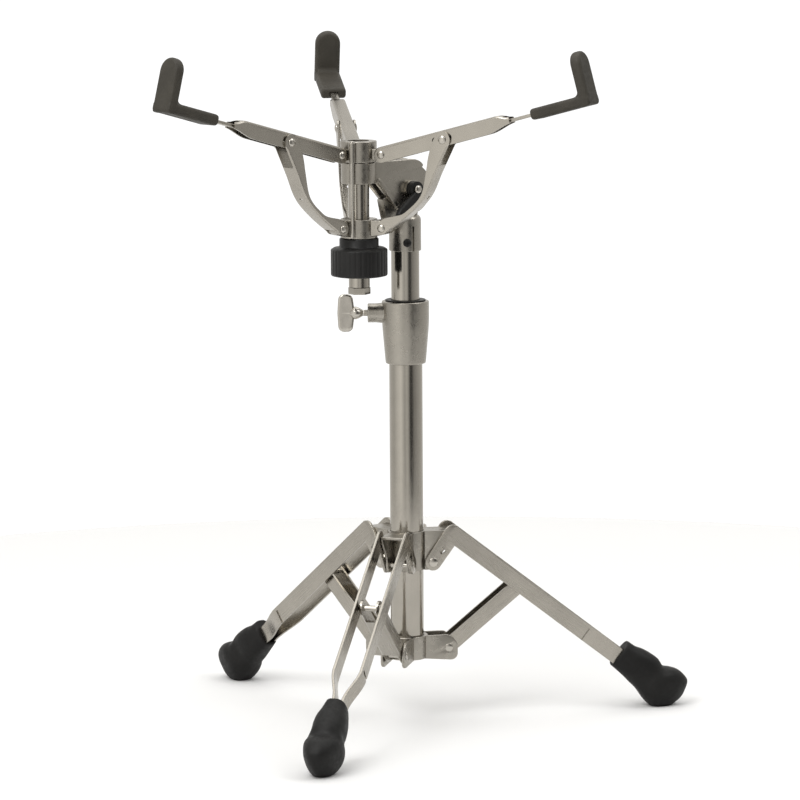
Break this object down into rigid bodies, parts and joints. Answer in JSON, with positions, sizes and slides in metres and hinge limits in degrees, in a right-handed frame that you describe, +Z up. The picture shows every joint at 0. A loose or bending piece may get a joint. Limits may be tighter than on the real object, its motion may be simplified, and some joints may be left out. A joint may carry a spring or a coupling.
{
  "type": "snare drum stand",
  "caption": "Folding tripod stand for a snare drum: telescopic column, offset tilter, and a basket of hinged arms with rubber grips closed by a threaded nut.",
  "frame": {"origin": "on the floor, under the middle of the bounding box", "axes": "+Z up along the column; the front leg points toward -Y and the rear arm toward +Y"},
  "size_m": [0.4734, 0.4492, 0.6137],
  "materials": {
    "satin_steel": "satin nickel plated steel tube and strip",
    "cast_metal": "plated die casting",
    "bright_metal": "bright plated fastener",
    "boot_rubber": "matt black moulded rubber",
    "grip_rubber": "matt charcoal rubber sleeve",
    "black_nylon": "black moulded nylon"
  },
  "bodies": {
    "column": {"main_tube": "satin_steel", "height_collar": "cast_metal", "lower_bracket": "cast_metal", "right_brace_foot_pin": "bright_metal", "left_brace_foot_pin": "bright_metal", "front_brace_foot_pin": "bright_metal"},
    "height_wing": {"height_wing_bolt": "bright_metal"},
    "bush": {"collar_bush": "black_nylon"},
    "upper": {"upper_tube": "satin_steel", "tilter_base": "cast_metal", "tilter_base_screw": "black_nylon"},
    "tilter_wing": {"tilter_wing_bolt": "black_nylon"},
    "basket": {"tilter_bracket": "cast_metal", "basket_post": "satin_steel", "post_end_nut": "satin_steel", "top_hub": "cast_metal", "right_arm_pin": "bright_metal", "left_arm_pin": "bright_metal", "rear_arm_pin": "bright_metal"},
    "slider": {"basket_slider": "cast_metal", "guide_rod": "bright_metal", "right_link_foot_pin": "bright_metal", "left_link_foot_pin": "bright_metal", "rear_link_foot_pin": "bright_metal"},
    "nut": {"basket_nut": "black_nylon"},
    "leg_collar": {"leg_collar": "cast_metal", "right_leg_pin": "bright_metal", "left_leg_pin": "bright_metal", "front_leg_pin": "bright_metal"},
    "leg_wing": {"leg_collar_wing_bolt": "bright_metal"},
    "right_arm": {"right_arm": "satin_steel", "right_arm_neck": "satin_steel", "right_grip": "grip_rubber"},
    "right_link": {"right_link": "satin_steel", "right_link_top_pin": "bright_metal"},
    "left_arm": {"left_arm": "satin_steel", "left_arm_neck": "satin_steel", "left_grip": "grip_rubber"},
    "left_link": {"left_link": "satin_steel", "left_link_top_pin": "bright_metal"},
    "rear_arm": {"rear_arm": "satin_steel", "rear_arm_neck": "satin_steel", "rear_grip": "grip_rubber"},
    "rear_link": {"rear_link": "satin_steel", "rear_link_top_pin": "bright_metal"},
    "right_leg": {"right_leg_strip_a": "satin_steel", "right_leg_strip_b": "satin_steel", "right_foot": "boot_rubber"},
    "right_brace": {"right_brace": "satin_steel", "right_brace_top_pin": "bright_metal"},
    "left_leg": {"left_leg_strip_a": "satin_steel", "left_leg_strip_b": "satin_steel", "left_foot": "boot_rubber"},
    "left_brace": {"left_brace": "satin_steel", "left_brace_top_pin": "bright_metal"},
    "front_leg": {"front_leg_strip_a": "satin_steel", "front_leg_strip_b": "satin_steel", "front_foot": "boot_rubber"},
    "front_brace": {"front_brace": "satin_steel", "front_brace_top_pin": "bright_metal"}
  },
  "joints": [
    {"name": "height_wing_turn", "type": "hinge", "parent": "column", "child": "height_wing", "pos_m": [-0.04117, 0.02645, 0.3715], "axis": [-1, 0, 0], "range_deg": [0, 180]},
    {"name": "swivel", "type": "hinge", "parent": "column", "child": "bush", "pos_m": [-0.02117, 0.02645, 0.36], "axis": [0, 0, 1], "continuous": true},
    {"name": "height", "type": "slide", "parent": "bush", "child": "upper", "axis": [0, 0, 1], "range_m": [0, 0.13]},
    {"name": "tilt", "type": "hinge", "parent": "upper", "child": "basket", "pos_m": [-0.02117, 0.02645, 0.484], "axis": [-0.606, 0.7955, 0], "range_deg": [-9, 75]},
    {"name": "tilter_wing_turn", "type": "hinge", "parent": "upper", "child": "tilter_wing", "pos_m": [-0.02117, 0.02645, 0.484], "axis": [0.606, -0.7955, 0], "range_deg": [0, 180]},
    {"name": "nut_turn", "type": "hinge", "parent": "slider", "child": "nut", "pos_m": [-0.06214, -0.00475, 0.42], "axis": [0, 0, 1], "range_deg": [-180, 1470]},
    {"name": "slider_travel", "type": "slide", "parent": "basket", "child": "slider", "axis": [0, 0, 1], "range_m": [-0.0031, 0.0246]},
    {"name": "right_arm_fold", "type": "hinge", "parent": "basket", "child": "right_arm", "pos_m": [-0.03967, -0.01571, 0.518], "axis": [-0.4384, -0.8988, 0], "range_deg": [-6.15, 48.78]},
    {"name": "right_link_swing", "type": "hinge", "parent": "slider", "child": "right_link", "pos_m": [-0.03877, -0.01615, 0.453], "axis": [-0.4384, -0.8988, 0], "range_deg": [-2.73, 20.88]},
    {"name": "left_arm_fold", "type": "hinge", "parent": "basket", "child": "left_arm", "pos_m": [-0.08042, -0.0218, 0.518], "axis": [-0.682, 0.7314, 0], "range_deg": [-6.15, 48.78]},
    {"name": "left_link_swing", "type": "hinge", "parent": "slider", "child": "left_link", "pos_m": [-0.08116, -0.02249, 0.453], "axis": [-0.682, 0.7314, 0], "range_deg": [-2.73, 20.88]},
    {"name": "rear_arm_fold", "type": "hinge", "parent": "basket", "child": "rear_arm", "pos_m": [-0.06562, 0.02, 0.518], "axis": [0.9903, 0.1392, 0], "range_deg": [-6.15, 48.78]},
    {"name": "rear_link_swing", "type": "hinge", "parent": "slider", "child": "rear_link", "pos_m": [-0.06576, 0.02099, 0.453], "axis": [0.9903, 0.1392, 0], "range_deg": [-2.73, 20.88]},
    {"name": "leg_fold", "type": "slide", "parent": "column", "child": "leg_collar", "axis": [0, 0, 1], "range_m": [0, 0.08623]},
    {"name": "leg_wing_turn", "type": "hinge", "parent": "leg_collar", "child": "leg_wing", "pos_m": [-0.01499, 0.04548, 0.156], "axis": [0.309, 0.9511, 0], "range_deg": [0, 180]},
    {"name": "right_leg_swing", "type": "hinge", "parent": "leg_collar", "child": "right_leg", "pos_m": [-0.00014, 0.03092, 0.145], "axis": [-0.2079, 0.9781, 0], "range_deg": [-0.2, 52.2]},
    {"name": "right_brace_swing", "type": "hinge", "parent": "column", "child": "right_brace", "pos_m": [0.01433, 0.034, 0.0655], "axis": [0.2079, -0.9781, 0], "range_deg": [-0.2, 40.06]},
    {"name": "left_leg_swing", "type": "hinge", "parent": "leg_collar", "child": "left_leg", "pos_m": [-0.03556, 0.04243, 0.145], "axis": [-0.7431, -0.6691, 0], "range_deg": [-0.2, 52.2]},
    {"name": "left_brace_swing", "type": "hinge", "parent": "column", "child": "left_brace", "pos_m": [-0.04546, 0.05343, 0.0655], "axis": [0.7431, 0.6691, 0], "range_deg": [-0.2, 40.06]},
    {"name": "front_leg_swing", "type": "hinge", "parent": "leg_collar", "child": "front_leg", "pos_m": [-0.02782, 0.00601, 0.145], "axis": [0.9511, -0.309, 0], "range_deg": [-0.2, 52.2]},
    {"name": "front_brace_swing", "type": "hinge", "parent": "column", "child": "front_brace", "pos_m": [-0.03239, -0.00807, 0.0655], "axis": [-0.9511, 0.309, 0], "range_deg": [-0.2, 40.06]}
  ],
  "couplings": [
    {"joint": "slider_travel", "follows": "nut_turn", "m_per_rad": 0.00095493},
    {"joint": "right_arm_fold", "follows": "nut_turn", "ratio": 0.033045},
    {"joint": "right_link_swing", "follows": "nut_turn", "ratio": 0.01407},
    {"joint": "left_arm_fold", "follows": "nut_turn", "ratio": 0.033045},
    {"joint": "left_link_swing", "follows": "nut_turn", "ratio": 0.01407},
    {"joint": "rear_arm_fold", "follows": "nut_turn", "ratio": 0.033045},
    {"joint": "rear_link_swing", "follows": "nut_turn", "ratio": 0.01407},
    {"joint": "right_leg_swing", "follows": "leg_fold", "rad_per_m": 10.525},
    {"joint": "right_brace_swing", "follows": "leg_fold", "rad_per_m": 8.068},
    {"joint": "left_leg_swing", "follows": "leg_fold", "rad_per_m": 10.525},
    {"joint": "left_brace_swing", "follows": "leg_fold", "rad_per_m": 8.068},
    {"joint": "front_leg_swing", "follows": "leg_fold", "rad_per_m": 10.525},
    {"joint": "front_brace_swing", "follows": "leg_fold", "rad_per_m": 8.068}
  ]
}
